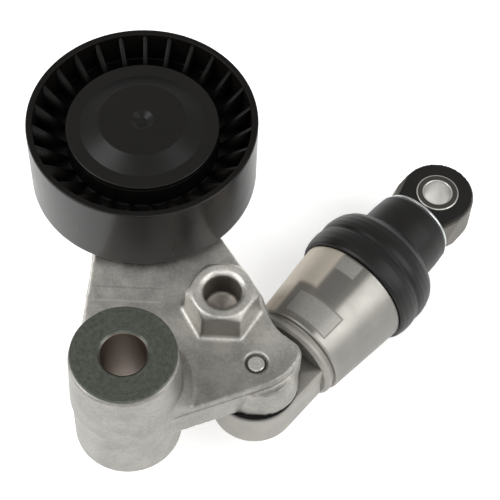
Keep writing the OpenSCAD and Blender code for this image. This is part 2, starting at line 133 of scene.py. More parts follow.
def tint(tree, base, factor, colour, amount=1.0):
    """Lays a colour over another where the factor is 1."""
    part = add(tree, "ShaderNodeMath", {0: factor, 1: amount}, operation="MULTIPLY")
    return add(tree, "ShaderNodeMix", {"Factor": part.outputs[0], "A": base, "B": colour},
        data_type="RGBA").outputs["Result"]


def start(name, metallic, roughness, **more):
    """A material with one Principled shader. Returns the material, its tree, the shader and a place
    socket that holds the object's own coordinates in metres."""
    made = bpy.data.materials.new(name)
    made.use_nodes = True
    tree = made.node_tree
    shader = tree.nodes["Principled BSDF"]
    shader.inputs["Metallic"].default_value = metallic
    shader.inputs["Roughness"].default_value = roughness
    for key, value in more.items():
        shader.inputs[key.replace("_", " ")].default_value = value
    print("material", name)
    return made, tree, shader, add(tree, "ShaderNodeTexCoord").outputs["Object"]


# %% [markdown]
# ## Light, floor and camera
# A catalogue picture of a machine part is lit by large soft lamps over a white sheet. The sheet
# matters as much as the lamps: it is what the upright walls of the metal and the glossy side of the
# pulley reflect, while the flat tops reflect the dimmer ceiling and so look darker.

# %% The room: dim above, brighter towards the horizon
world = bpy.data.worlds.new("studio")
scene.world = world
world.use_nodes = True
sky = world.node_tree
direction = add(sky, "ShaderNodeTexCoord").outputs["Generated"]
height = add(sky, "ShaderNodeSeparateXYZ", {"Vector": direction}).outputs["Z"]
grade = add(sky, "ShaderNodeValToRGB", {"Fac": height})
grade.color_ramp.elements[0].position = 0.05
grade.color_ramp.elements[0].color = (0.62, 0.615, 0.61, 1)
grade.color_ramp.elements[1].position = 0.75
grade.color_ramp.elements[1].color = (0.56, 0.555, 0.545, 1)
sky.links.new(grade.outputs["Color"], sky.nodes["Background"].inputs["Color"])
sky.nodes["Background"].inputs["Strength"].default_value = 1.0
scene.view_settings.view_transform = "Standard"


# %% Soft lamps, aimed at the middle of the part
PART_MIDDLE = Vector((0.03, 0.045, 0.02))


def lamp(name, place, size, power):
    """A rectangular soft lamp. Place and size in metres, power in watts."""
    data = bpy.data.lights.new(name, "AREA")
    data.shape = "RECTANGLE"
    data.size, data.size_y = size
    data.energy = power
    made = bpy.data.objects.new(name, data)
    scene.collection.objects.link(made)
    made.location = place
    made.rotation_euler = (PART_MIDDLE - Vector(place)).to_track_quat("-Z", "Y").to_euler()
    print(name, "at", place, "with", power, "W")


lamp("left_softbox", (-0.62, -0.10, 0.62), (0.5, 0.7), 4.6)
lamp("right_softbox", (0.72, -0.16, 0.60), (0.5, 0.8), 3.4)
lamp("front_softbox", (0.05, -0.75, 0.80), (0.6, 0.3), 1.7)

# %% The white sheet that it lies on, lit a little from below so that the part's shadow stays pale
bpy.ops.mesh.primitive_plane_add(size=6, location=(0, 0, cad_low.z))
paper = bpy.context.object
paper.name = "paper"
finish, tree, shader, place = start("backlit_white_acrylic", 0.0, 0.85, Emission_Strength=0.45)
fibre = add(tree, "ShaderNodeTexNoise", {"Vector": place, "Scale": 900.0, "Detail": 3.0})
tone = tint(tree, rgb("#f7f7f7"), fibre.outputs["Fac"], rgb("#fdfdfd"))
tree.links.new(tone, shader.inputs["Base Color"])
tree.links.new(tone, shader.inputs["Emission Color"])
paper.data.materials.append(finish)

# %% The camera: high in front, a little to the left of the pivot's own front
VIEW = {"turn": -0.345, "rise": 57.58, "roll": -2.858}  # degrees
AIM, AWAY = Vector((31.693, 47.139, 20.0)), 465.14  # mm
FOCAL_SHARE = 1628.46 / 500  # focal length over the frame's width
lens = bpy.data.cameras.new("camera")
lens.sensor_width = 36.0
lens.lens = FOCAL_SHARE * lens.sensor_width
lens.clip_start = 0.01
camera = bpy.data.objects.new("camera", lens)
scene.collection.objects.link(camera)
turn, rise, roll = (math.radians(VIEW[k]) for k in ("turn", "rise", "roll"))
back = Vector((math.sin(turn) * math.cos(rise), -math.cos(turn) * math.cos(rise), math.sin(rise)))
right = Vector((math.cos(turn), math.sin(turn), 0))
looking = Matrix((right, back.cross(right), back)).transposed() @ Matrix.Rotation(-roll, 3, "Z")
eye_point = (AIM + back * AWAY) * MM
camera.matrix_world = Matrix.Translation(eye_point) @ looking.to_4x4()
scene.camera = camera
print("camera at, mm:", [round(v / MM) for v in eye_point], "lens, mm:", round(lens.lens, 1))

# %% [markdown]
# ## The metals
# Several metals meet here, and each is told apart by how it was made. The arm is die-cast aluminium:
# the mould leaves a fine, slightly mottled skin with no direction. The strut's cylinder is the same
# metal turned in a lathe, so it is brighter and carries fine rings. The pivot sleeve is steel, faced
# in a lathe and oiled, which leaves a dark green-grey disc with close rings round the bolt. The pins
# and small turned pieces are zinc plated, the springs are phosphated and the bearing is ground.
# All of them are metals, so the shader keeps its default index of refraction and the colour of the
# reflection is the colour of the metal. Only tone, roughness and bump are patterned.

# %% Soft-edged patches of a surface
def inside(tree, value, middle, half, edge):
    """1 where a value lies within half of middle, falling to 0 over twice the edge."""
    off = add(tree, "ShaderNodeMath", {0: value, 1: middle}, operation="SUBTRACT")
    away = add(tree, "ShaderNodeMath", {0: off.outputs[0]}, operation="ABSOLUTE")
    return add(tree, "ShaderNodeMapRange", {"Value": away.outputs[0], "From Min": half + edge,
        "From Max": half - edge}).outputs["Result"]


def patch(tree, at, middle, halves, edge):
    """1 inside a box of the object's space. Sizes in mm."""
    result = 1.0
    for axis, m, h in zip("XYZ", middle, halves):
        test = inside(tree, at[axis], m * MM, h * MM, edge * MM)
        result = add(tree, "ShaderNodeMath", {0: result, 1: test}, operation="MULTIPLY").outputs[0]
    return result


BARREL_R = 15.5


def field(tree, turn, reach, left, right, low, high, soft=0.25):
    """1 inside a patch of the strut's barrel. Angles from its top in degrees, lengths in mm."""
    wide = inside(tree, turn, math.radians((left + right) / 2), math.radians((right - left) / 2),
        soft / BARREL_R)
    deep = inside(tree, reach, (low + high) / 2 * MM, (high - low) / 2 * MM, soft * MM)
    return add(tree, "ShaderNodeMath", {0: wide, 1: deep}, operation="MULTIPLY").outputs[0]


# %% Die-cast aluminium: a grey satin skin, cloudy over 7 mm and speckled under 1 mm
HEXAGON = (24.6, 26.2)
PLATE_TOP = 22.0
cast_alu, tree, shader, place = start("die_cast_aluminium", 0.9, 0.44)
cloud = add(tree, "ShaderNodeTexNoise", {"Vector": place, "Scale": 1 / (7 * MM), "Detail": 4.0,
    "Roughness": 0.55})
speck = add(tree, "ShaderNodeTexNoise", {"Vector": place, "Scale": 1 / (0.7 * MM), "Detail": 3.0,
    "Roughness": 0.7})
both = add(tree, "ShaderNodeMix", {"Factor": 0.45, "A": cloud.outputs["Fac"], "B": speck.outputs["Fac"]})
tone = add(tree, "ShaderNodeValToRGB", {"Fac": both.outputs["Result"]})
tone.color_ramp.elements[0].position, tone.color_ramp.elements[0].color = 0.38, rgb("#b4b2ad")
tone.color_ramp.elements[1].position, tone.color_ramp.elements[1].color = 0.62, rgb("#dbd8d2")
rough = add(tree, "ShaderNodeMapRange", {"Value": cloud.outputs["Fac"], "To Min": 0.34, "To Max": 0.52})
tree.links.new(rough.outputs["Result"], shader.inputs["Roughness"])

# %% On it: a fine flash line where the mould's halves met, and painted shade on the hexagon's front face
at = add(tree, "ShaderNodeSeparateXYZ", {"Vector": place}).outputs
wander = add(tree, "ShaderNodeMath", {0: cloud.outputs["Fac"], 1: 0.9 * MM, 2: at["Z"]},
    operation="MULTIPLY_ADD")
flash = add(tree, "ShaderNodeMath", {0: wander.outputs[0], 1: 21.0 * MM, 2: 0.12 * MM}, operation="COMPARE")
toned = tint(tree, tone.outputs["Color"], flash.outputs[0], rgb("#7c7974"), 0.6)
# painted shade: the hexagon's faces that turn to the front are darkened
hexagon = patch(tree, at, (*HEXAGON, 27.5), (10.6, 10.6, 4.2), 0.4)
normal = add(tree, "ShaderNodeSeparateXYZ", {"Vector": add(tree, "ShaderNodeTexCoord").outputs["Normal"]})
to_front = add(tree, "ShaderNodeMapRange", {"Value": normal.outputs["Y"], "From Min": -0.6,
    "From Max": -0.95})
shaded = add(tree, "ShaderNodeMath", {0: hexagon, 1: to_front.outputs["Result"]}, operation="MULTIPLY")
toned = tint(tree, toned, shaded.outputs[0], rgb("#8b8883"), 0.75)

# %% Painted shade darkens its front end, and brown painted shade lies in the hexagon's blind hole
# painted shade: the casting is darkened towards its front end
front_shade = add(tree, "ShaderNodeMapRange", {"Value": at["Y"], "From Min": 32 * MM, "From Max": 4 * MM})
toned = add(tree, "ShaderNodeMix", {"Factor": front_shade.outputs["Result"], "A": toned,
    "B": (0.48, 0.48, 0.475, 1)}, data_type="RGBA", blend_type="MULTIPLY").outputs["Result"]
beside = add(tree, "ShaderNodeVectorMath", {0: place, 1: (HEXAGON[0] * MM, HEXAGON[1] * MM, 0)},
    operation="SUBTRACT")
flat = add(tree, "ShaderNodeVectorMath", {0: beside.outputs["Vector"], 1: (1, 1, 0)}, operation="MULTIPLY")
from_hole = add(tree, "ShaderNodeVectorMath", {0: flat.outputs["Vector"]}, operation="LENGTH")
# painted shade, brown, inside the hexagon's blind hole
hole_shade = add(tree, "ShaderNodeMapRange", {"Value": from_hole.outputs["Value"], "From Min": 5.4 * MM,
    "From Max": 5.0 * MM})
toned = tint(tree, toned, hole_shade.outputs["Result"], rgb("#54483f"), 0.7)
tree.links.new(toned, shader.inputs["Base Color"])

# %% Its relief: cast grain all over, and a plain raised pad where a maker would put a mark
pad = patch(tree, at, (-2.0, 29.5, PLATE_TOP), (9.5, 2.2, 0.6), 0.35)
raised = add(tree, "ShaderNodeMath", {0: pad, 1: 2.0, 2: speck.outputs["Fac"]}, operation="MULTIPLY_ADD")
grain = add(tree, "ShaderNodeBump", {"Strength": 0.55, "Distance": 0.05 * MM, "Height": raised.outputs[0]})
tree.links.new(grain.outputs["Normal"], shader.inputs["Normal"])

# %% Steel faced in a lathe and oiled: dark, with faint close rings, and a brown film inside the bore
faced_steel, tree, shader, place = start("faced_oiled_steel", 0.95, 0.36)
flat = add(tree, "ShaderNodeVectorMath", {0: place, 1: (1.0, 1.0, 0.0)}, operation="MULTIPLY")
radius = add(tree, "ShaderNodeVectorMath", {0: flat.outputs["Vector"]}, operation="LENGTH").outputs["Value"]
rings = add(tree, "ShaderNodeTexNoise", {"W": radius, "Scale": 1 / (0.35 * MM), "Detail": 2.0},
    noise_dimensions="1D")
smear = add(tree, "ShaderNodeTexNoise", {"Vector": place, "Scale": 1 / (1.1 * MM), "Detail": 5.0,
    "Roughness": 0.65})
both = add(tree, "ShaderNodeMix", {"Factor": 0.7, "A": rings.outputs["Fac"], "B": smear.outputs["Fac"]})
tone = add(tree, "ShaderNodeValToRGB", {"Fac": both.outputs["Result"]})
tone.color_ramp.elements[0].position, tone.color_ramp.elements[0].color = 0.35, rgb("#50534d")
tone.color_ramp.elements[1].position, tone.color_ramp.elements[1].color = 0.65, rgb("#696c65")
bore = add(tree, "ShaderNodeMapRange", {"Value": radius, "From Min": 6.5 * MM, "From Max": 6.3 * MM})
brown = tint(tree, tone.outputs["Color"], bore.outputs["Result"], rgb("#857a71"))
tree.links.new(brown, shader.inputs["Base Color"])
rough = add(tree, "ShaderNodeMapRange", {"Value": smear.outputs["Fac"], "To Min": 0.28, "To Max": 0.46})
tree.links.new(rough.outputs["Result"], shader.inputs["Roughness"])
marks = add(tree, "ShaderNodeBump", {"Strength": 0.12, "Distance": 0.02 * MM,
    "Height": rings.outputs["Fac"]})
tree.links.new(marks.outputs["Normal"], shader.inputs["Normal"])

# %% Bright zinc on steel: cold, a little streaked, sharper in its reflections than the casting
zinc, tree, shader, place = start("bright_zinc_plate", 0.97, 0.26)
spangle = add(tree, "ShaderNodeTexNoise", {"Vector": place, "Scale": 1 / (2.2 * MM), "Detail": 4.0})
tone = tint(tree, rgb("#a9adae"), spangle.outputs["Fac"], rgb("#d3d6d5"))
tree.links.new(tone, shader.inputs["Base Color"])
rough = add(tree, "ShaderNodeMapRange", {"Value": spangle.outputs["Fac"], "To Min": 0.2, "To Max": 0.34})
tree.links.new(rough.outputs["Result"], shader.inputs["Roughness"])
grain = add(tree, "ShaderNodeBump", {"Strength": 0.15, "Distance": 0.03 * MM,
    "Height": spangle.outputs["Fac"]})
tree.links.new(grain.outputs["Normal"], shader.inputs["Normal"])

# %% The same plate on small turned ends, with a dark ring: painted shade on the pin, a dark band on the sleeve
def ringed(name, centre, dark_from, dark_to, dark, light):
    """Zinc plate with a dark ring about a vertical axis, between two radii in mm."""
    made, tree, shader, place = start(name, 0.95, 0.3)
    shifted = add(tree, "ShaderNodeVectorMath", {0: place, 1: centre}, operation="SUBTRACT")
    flat = add(tree, "ShaderNodeVectorMath", {0: shifted.outputs["Vector"], 1: (1.0, 1.0, 0.0)},
        operation="MULTIPLY")
    radius = add(tree, "ShaderNodeVectorMath", {0: flat.outputs["Vector"]},
        operation="LENGTH").outputs["Value"]
    speckle = add(tree, "ShaderNodeTexNoise", {"Vector": place, "Scale": 1 / (0.9 * MM), "Detail": 4.0})
    base = tint(tree, rgb(light), speckle.outputs["Fac"], rgb("#e4e3df"))
    ring = inside(tree, radius, (dark_from + dark_to) / 2 * MM, (dark_to - dark_from) / 2 * MM, 0.1 * MM)
    tree.links.new(tint(tree, base, ring, rgb(dark), 0.95), shader.inputs["Base Color"])
    wear = add(tree, "ShaderNodeMapRange", {"Value": speckle.outputs["Fac"], "To Min": 0.24,
        "To Max": 0.42})
    tree.links.new(wear.outputs["Result"], shader.inputs["Roughness"])
    return made


# painted shade: the dark ring on the pin's chamfer
pin_steel = ringed("pin_steel_painted_shade", (pin.x, pin.y, 0.0), 2.35, 2.75, "#3a3733", "#a3a19a")
eye_low, eye_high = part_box("eye_sleeve")
eye_centre = ((eye_low.x + eye_high.x) / 2, (eye_low.y + eye_high.y) / 2, 0.0)
eye_steel = ringed("sleeve_steel_dark_ends", eye_centre, 4.5, 6.0, "#44423f", "#c2c1bd")

# %% Ground bearing steel: near mirror, with faint grinding cloud
ground_steel, tree, shader, place = start("ground_bearing_steel", 1.0, 0.14)
haze = add(tree, "ShaderNodeTexNoise", {"Vector": place, "Scale": 1 / (1.5 * MM), "Detail": 3.0})
tone = tint(tree, rgb("#b4b7ba"), haze.outputs["Fac"], rgb("#d6d8da"))
tree.links.new(tone, shader.inputs["Base Color"])
rough = add(tree, "ShaderNodeMapRange", {"Value": haze.outputs["Fac"], "To Min": 0.1, "To Max": 0.2})
tree.links.new(rough.outputs["Result"], shader.inputs["Roughness"])

# %% Phosphated spring steel: dark grey, dry, very finely pitted by shot
spring_steel, tree, shader, place = start("shot_peened_spring_steel", 0.85, 0.5)
pits = add(tree, "ShaderNodeTexVoronoi", {"Vector": place, "Scale": 1 / (0.35 * MM)})
tone = tint(tree, rgb("#3c3e42"), pits.outputs["Distance"], rgb("#5b5e63"))
tree.links.new(tone, shader.inputs["Base Color"])
dents = add(tree, "ShaderNodeBump", {"Strength": 0.3, "Distance": 0.03 * MM,
    "Height": pits.outputs["Distance"]})
tree.links.new(dents.outputs["Normal"], shader.inputs["Normal"])

# %% Sintered bronze of the pin bush and pressed brass of the ball cage: yellow metals, satin
bronze, tree, shader, place = start("sintered_bronze", 0.95, 0.42)
pores = add(tree, "ShaderNodeTexNoise", {"Vector": place, "Scale": 1 / (0.4 * MM), "Detail": 4.0})
tone = tint(tree, rgb("#8a6a3c"), pores.outputs["Fac"], rgb("#c39a5e"))
tree.links.new(tone, shader.inputs["Base Color"])
grain = add(tree, "ShaderNodeBump", {"Strength": 0.3, "Distance": 0.03 * MM,
    "Height": pores.outputs["Fac"]})
tree.links.new(grain.outputs["Normal"], shader.inputs["Normal"])
brass, tree, shader, place = start("pressed_brass", 1.0, 0.3)
haze = add(tree, "ShaderNodeTexNoise", {"Vector": place, "Scale": 1 / (1.2 * MM), "Detail": 3.0})
tone = tint(tree, rgb("#a8893e"), haze.outputs["Fac"], rgb("#d5b765"))
tree.links.new(tone, shader.inputs["Base Color"])
rough = add(tree, "ShaderNodeMapRange", {"Value": haze.outputs["Fac"], "To Min": 0.22, "To Max": 0.4})
tree.links.new(rough.outputs["Result"], shader.inputs["Roughness"])

# %% [markdown]
# ## The strut's aluminium
# The cylinder is one aluminium casting with three skins. Its ear is as cast. Its barrel is turned,
# and part of the barrel is blasted, which leaves it paler and a little yellow. A darker area in the
# middle carries the maker's etched marks: they are left out, and two plain etched fields stand in
# their place. Painted shade darkens both flanks of the barrel. None of this has a depth that shows,
# so it is patterned in the material. The object's coordinates are turned so that Z runs along the
# strut, and each field is a soft-edged box test on the angle round the axis and on the distance along
# it. The rod's head has the same cast skin under painted shade, so it shares the finish.

# %% The strut's own coordinates: the angle round its axis, counted from the top, and the way along
turned_alu, tree, shader, place = start("turned_and_cast_aluminium", 0.92, 0.4)
undo = strut_axis.inverted()
local = add(tree, "ShaderNodeMapping", {"Vector": place, "Location": undo.translation,
    "Rotation": undo.to_euler("XYZ")})
xyz = add(tree, "ShaderNodeSeparateXYZ", {"Vector": local.outputs["Vector"]})
upward = add(tree, "ShaderNodeMath", {0: xyz.outputs["X"], 1: -1.0}, operation="MULTIPLY")
turn_of = add(tree, "ShaderNodeMath", {0: xyz.outputs["Y"], 1: upward.outputs[0]},
    operation="ARCTAN2").outputs[0]
reach = xyz.outputs["Z"]

# %% Its patterns: clouds, specks, and lathe marks stretched round the barrel
cloud = add(tree, "ShaderNodeTexNoise", {"Vector": place, "Scale": 1 / (6 * MM), "Detail": 4.0})
speck = add(tree, "ShaderNodeTexNoise", {"Vector": place, "Scale": 1 / (0.6 * MM), "Detail": 3.0,
    "Roughness": 0.7})
stretch = add(tree, "ShaderNodeMapping", {"Vector": local.outputs["Vector"], "Scale": (60.0, 60.0, 2200.0)})
lathe = add(tree, "ShaderNodeTexNoise", {"Vector": stretch.outputs["Vector"], "Scale": 1.0, "Detail": 4.0})

# %% Its fields: the turned barrel, the blasted side, a darker patch and the two etched plates
barrel = inside(tree, reach, 34.0 * MM, 15.1 * MM, 0.2 * MM)
blasted = add(tree, "ShaderNodeMath", {0: field(tree, turn_of, reach, 10, 100, 17, 48, 1.0), 1: barrel},
    operation="MULTIPLY").outputs[0]
darker_patch_low = field(tree, turn_of, reach, -19, 36, 18.5, 31, 0.7)
darker_patch_high = field(tree, turn_of, reach, -19, 13, 30, 48, 0.7)
darker_patch = add(tree, "ShaderNodeMath", {0: darker_patch_low, 1: darker_patch_high}, operation="MAXIMUM").outputs[0]
plate = field(tree, turn_of, reach, -31, 27, 20.4, 28.6, 0.12)
inner_plate = field(tree, turn_of, reach, -29.4, 25.4, 20.9, 28.1, 0.12)
square = field(tree, turn_of, reach, -10, 12, 39, 43.8, 0.2)
border = add(tree, "ShaderNodeMath", {0: plate, 1: inner_plate}, operation="SUBTRACT").outputs[0]
etched = add(tree, "ShaderNodeMath", {0: plate, 1: square}, operation="MAXIMUM").outputs[0]
cast_part = add(tree, "ShaderNodeMath", {0: 1.0, 1: barrel}, operation="SUBTRACT").outputs[0]

# %% Its colours in layers: turned, blasted, painted flank shade, darker patch, etched, cast, painted head shade
colour = tint(tree, rgb("#8f8d88"), cloud.outputs["Fac"], rgb("#aeaca6"))
colour = tint(tree, colour, blasted, rgb("#cdc4b6"), 0.85)
# painted shade: brownish and grey darkening on the barrel's flanks
for left, right, low, high, soft, flank_shade, amount in (
        (72, 120, 17, 49, 3.0, "#8f8578", 0.8),
        (34, 120, 12, 27, 3.0, "#857b6e", 0.75),
        (-150, -50, 17, 49, 4.0, "#75736f", 0.7)):
    edge = field(tree, turn_of, reach, left, right, low, high, soft)
    colour = tint(tree, colour, edge, rgb(flank_shade), amount)
colour = tint(tree, colour, darker_patch, rgb("#6d6b67"), 0.85)
frost = tint(tree, rgb("#85837f"), speck.outputs["Fac"], rgb("#b4b2ad"))
colour = tint(tree, colour, etched, frost, 0.8)
colour = tint(tree, colour, border, rgb("#6a6763"), 0.7)
skin = tint(tree, rgb("#918f8a"), cloud.outputs["Fac"], rgb("#a7a49f"))
colour = tint(tree, colour, cast_part, skin)
# painted shade over the rod's head
head_shade = inside(tree, reach, 85 * MM, 20 * MM, 2 * MM)
colour = tint(tree, colour, head_shade, rgb("#6c6964"), 0.9)
tree.links.new(colour, shader.inputs["Base Color"])

# %% Its gloss and relief: the turned skin is sharper, the blasted, etched and cast skins are dull
dull = add(tree, "ShaderNodeMath", {0: blasted, 1: etched}, operation="MAXIMUM")
duller = add(tree, "ShaderNodeMath", {0: dull.outputs[0], 1: cast_part}, operation="MAXIMUM")
turned_rough = add(tree, "ShaderNodeMapRange", {"Value": lathe.outputs["Fac"], "To Min": 0.36,
    "To Max": 0.5})
rough = add(tree, "ShaderNodeMix", {"Factor": duller.outputs[0], "A": turned_rough.outputs["Result"],
    "B": 0.56})
tree.links.new(rough.outputs["Result"], shader.inputs["Roughness"])
relief = add(tree, "ShaderNodeMix", {"Factor": barrel, "A": speck.outputs["Fac"],
    "B": lathe.outputs["Fac"]})
marks = add(tree, "ShaderNodeBump", {"Strength": 0.15, "Distance": 0.03 * MM,
    "Height": relief.outputs["Result"]})
tree.links.new(marks.outputs["Normal"], shader.inputs["Normal"])

# %% [markdown]
# ## The blacks
# Three blacks sit side by side, and only their gloss tells them apart. The pulley is glass-filled
# nylon from a polished mould: almost black, with a wet gloss on its running face. The dust cap is
# an unfilled nylon with a finer matt mould, so it is a shade greyer. The boot and the eye are
# rubber, which is duller and shows soft, wide highlights.

# %% Glass-filled nylon: black, glossy on the polished running face, dry and dull between the ribs
black_nylon, tree, shader, place = start("glass_filled_nylon", 0.0, 0.3, IOR=1.5)
swirl = add(tree, "ShaderNodeTexNoise", {"Vector": place, "Scale": 1 / (6 * MM), "Detail": 3.0,
    "Distortion": 0.6})
tone = tint(tree, rgb("#080706"), swirl.outputs["Fac"], rgb("#110f0e"))
tree.links.new(tone, shader.inputs["Base Color"])
shifted = add(tree, "ShaderNodeVectorMath", {0: place, 1: tuple(wheel_axis.translation)},
    operation="SUBTRACT")
flat = add(tree, "ShaderNodeVectorMath", {0: shifted.outputs["Vector"], 1: (1.0, 1.0, 0.0)},
    operation="MULTIPLY")
radius = add(tree, "ShaderNodeVectorMath", {0: flat.outputs["Vector"]}, operation="LENGTH").outputs["Value"]
running = add(tree, "ShaderNodeMapRange", {"Value": radius, "From Min": wheel_r - 0.35 * MM,
    "From Max": wheel_r - 0.05 * MM}).outputs["Result"]
level = add(tree, "ShaderNodeMapRange", {"Value": running, "To Min": 0.13, "To Max": 0.38})
tree.links.new(level.outputs["Result"], shader.inputs["Specular IOR Level"])
dull = add(tree, "ShaderNodeMapRange", {"Value": swirl.outputs["Fac"], "To Min": 0.36, "To Max": 0.5})
gloss = add(tree, "ShaderNodeMapRange", {"Value": swirl.outputs["Fac"], "To Min": 0.24, "To Max": 0.34})
rough = add(tree, "ShaderNodeMix", {"Factor": running, "A": dull.outputs["Result"],
    "B": gloss.outputs["Result"]})
tree.links.new(rough.outputs["Result"], shader.inputs["Roughness"])
fibre = add(tree, "ShaderNodeTexNoise", {"Vector": place, "Scale": 1 / (0.4 * MM), "Detail": 3.0})
grain = add(tree, "ShaderNodeBump", {"Strength": 0.06, "Distance": 0.02 * MM,
    "Height": fibre.outputs["Fac"]})
tree.links.new(grain.outputs["Normal"], shader.inputs["Normal"])

# %% Matt-moulded nylon of the dust cap: charcoal, fine spark-eroded grain
cap_nylon, tree, shader, place = start("matt_moulded_nylon", 0.0, 0.36, IOR=1.48, Specular_IOR_Level=0.26)
erode = add(tree, "ShaderNodeTexNoise", {"Vector": place, "Scale": 1 / (0.35 * MM), "Detail": 3.0,
    "Roughness": 0.6})
cloud = add(tree, "ShaderNodeTexNoise", {"Vector": place, "Scale": 1 / (8 * MM), "Detail": 2.0})
tone = tint(tree, rgb("#090807"), cloud.outputs["Fac"], rgb("#0f0d0c"))
tree.links.new(tone, shader.inputs["Base Color"])
grain = add(tree, "ShaderNodeBump", {"Strength": 0.3, "Distance": 0.02 * MM,
    "Height": erode.outputs["Fac"]})
tree.links.new(grain.outputs["Normal"], shader.inputs["Normal"])

# %% Moulded rubber of the boot, the eye and the seals: soft black with a dry bloom
rubber, tree, shader, place = start("moulded_black_rubber", 0.0, 0.42, IOR=1.45, Specular_IOR_Level=0.38)
bloom = add(tree, "ShaderNodeTexNoise", {"Vector": place, "Scale": 1 / (6 * MM), "Detail": 4.0})
tone = tint(tree, rgb("#070605"), bloom.outputs["Fac"], rgb("#100e0d"))
tree.links.new(tone, shader.inputs["Base Color"])
rough = add(tree, "ShaderNodeMapRange", {"Value": bloom.outputs["Fac"], "To Min": 0.34, "To Max": 0.5})
tree.links.new(rough.outputs["Result"], shader.inputs["Roughness"])
skin = add(tree, "ShaderNodeTexNoise", {"Vector": place, "Scale": 1 / (0.5 * MM), "Detail": 3.0})
grain = add(tree, "ShaderNodeBump", {"Strength": 0.15, "Distance": 0.03 * MM,
    "Height": skin.outputs["Fac"]})
tree.links.new(grain.outputs["Normal"], shader.inputs["Normal"])

# %% Low-friction bush liner: pale resin on steel, matt and mottled
liner, tree, shader, place = start("resin_bush_liner", 0.0, 0.6, IOR=1.45)
mottle = add(tree, "ShaderNodeTexNoise", {"Vector": place, "Scale": 1 / (0.8 * MM), "Detail": 4.0})
tone = tint(tree, rgb("#8f897a"), mottle.outputs["Fac"], rgb("#c2bcab"))
tree.links.new(tone, shader.inputs["Base Color"])

# %% [markdown]
# ## Finishes for the CAD pieces that stay
# Pieces whose CAD shape is already right, such as the bearing rings and the plunger, keep their mesh
# and only change their material. A table from the record's slots to the finishes above does it.

# %% Give every CAD node its finish
FINISH = {
    "cast_aluminium": cast_alu, "turned_aluminium": turned_alu, "machined_steel": faced_steel,
    "bearing_steel": ground_steel, "zinc_plated_steel": zinc, "spring_steel": spring_steel,
    "bronze": bronze, "bush_liner": liner, "black_nylon": black_nylon, "grey_black_nylon": cap_nylon,
    "black_rubber": rubber, "cage_brass": brass,
}
SLOT_OF = {s["node"]: s["material_slot"] for s in frame["record"]["subparts"]}
for name, obj in parts.items():
    for held in obj.material_slots:
        held.material = FINISH[SLOT_OF[name]]
print("finished CAD nodes:", len(parts))


# %% [markdown]
# ## Turned shapes
# Most pieces here are solids of revolution. On the real ones no corner is knife-sharp, and it is the
# small radius at each corner that catches the light. So each outline is rounded corner by corner
# before it is spun, and a support point is kept next to each arc, which stops the smooth shading
# from washing over the flat faces.

# %% Round a profile's corners, and spin it
def soften(points, radius, steps=4, closed=True):
    """Rounds every corner of a profile of (r, z) points in mm. A point on the axis stays sharp."""
    result, count = [], len(points)
    for i, (x, y) in enumerate(points):
        here = Vector((x, y))
        if abs(x) < 1e-6 or (not closed and i in (0, count - 1)):
            result.append(here)
            continue
        to_last = Vector(points[i - 1]) - here
        to_next = Vector(points[(i + 1) % count]) - here
        turn_by = math.pi - to_last.angle(to_next)
        if turn_by < 0.05:
            result.append(here)
            continue
        reach = min(radius * math.tan(turn_by / 2), 0.42 * to_last.length, 0.42 * to_next.length)
        a, b = here + to_last.normalized() * reach, here + to_next.normalized() * reach
        if to_last.length > 6 * reach:
            result.append(here + to_last.normalized() * reach * 1.8)
        for k in range(steps + 1):
            t = k / steps
            result.append(a * (1 - t) ** 2 + here * 2 * t * (1 - t) + b * t * t)
        if to_next.length > 6 * reach:
            result.append(here + to_next.normalized() * reach * 1.8)
    return result


def loft(name, rings, axis, finish):
    """A closed solid through rings of points in mm that share one count. The last meets the first."""
    mesh = bmesh.new()
    columns = []
    for ring in rings:
        if max(math.hypot(x, y) for x, y, z in ring) < 1e-6:
            columns.append([mesh.verts.new(Vector(ring[0]) * MM)] * len(ring))
        else:
            columns.append([mesh.verts.new(Vector(p) * MM) for p in ring])
    for i in range(len(columns)):
        one, two = columns[i], columns[(i + 1) % len(columns)]
        for k in range(len(one)):
            m = (k + 1) % len(one)
            unique = list(dict.fromkeys([one[k], two[k], two[m], one[m]]))
            if len(unique) > 2:
                mesh.faces.new(unique)
    return keep(name, mesh, axis, finish)


def spin(name, profile, axis, finish, sides=128):
    """A closed solid of revolution about an axis matrix, from (r, z) points in mm."""
    circle = [(math.cos(2 * math.pi * k / sides), math.sin(2 * math.pi * k / sides)) for k in range(sides)]
    return loft(name, [[(r * x, r * y, z) for x, y in circle] for r, z in profile], axis, finish)


def keep(name, mesh, axis, finish):
    """Turns a bmesh into an object whose place is in its mesh, smooth, closed and facing outwards."""
    bmesh.ops.transform(mesh, matrix=axis, verts=mesh.verts)
    bmesh.ops.recalc_face_normals(mesh, faces=mesh.faces)
    for face in mesh.faces:
        face.smooth = True
    data = bpy.data.meshes.new(name)
    mesh.to_mesh(data)
    mesh.free()
    data.materials.append(finish)
    made = bpy.data.objects.new(name, data)
    scene.collection.objects.link(made)
    return made


def join(obj, *meshes):
    """Adds closed shells to an object's mesh, all in its first material."""
    whole = bmesh.new()
    for mesh in (obj.data, *meshes):
        whole.from_mesh(mesh)
    for f in whole.faces:
        f.material_index = 0
    whole.to_mesh(obj.data)
    whole.free()


def stand_for(piece, body, slot, *nodes):
    """Puts a finished piece on its body in place of the CAD nodes."""
    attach(piece, body)
    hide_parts(*nodes)
    piece.data.calc_loop_triangles()
    print(piece.name, "stands for", ", ".join(nodes), "with", len(piece.data.loop_triangles), "triangles")


# %% [markdown]
# ## The pulley
# The wheel is one moulding: a rim with a smooth face, a thin web half way up and a hub that grips
# the bearing, with sloping gussets that stiffen the rim on both sides. The rim, web and hub are
# spun. The gussets repeat by rule, so Geometry Nodes places them: the tree takes one gusset and
# turns a copy of it to each angle, with the number and the first angle as its inputs.

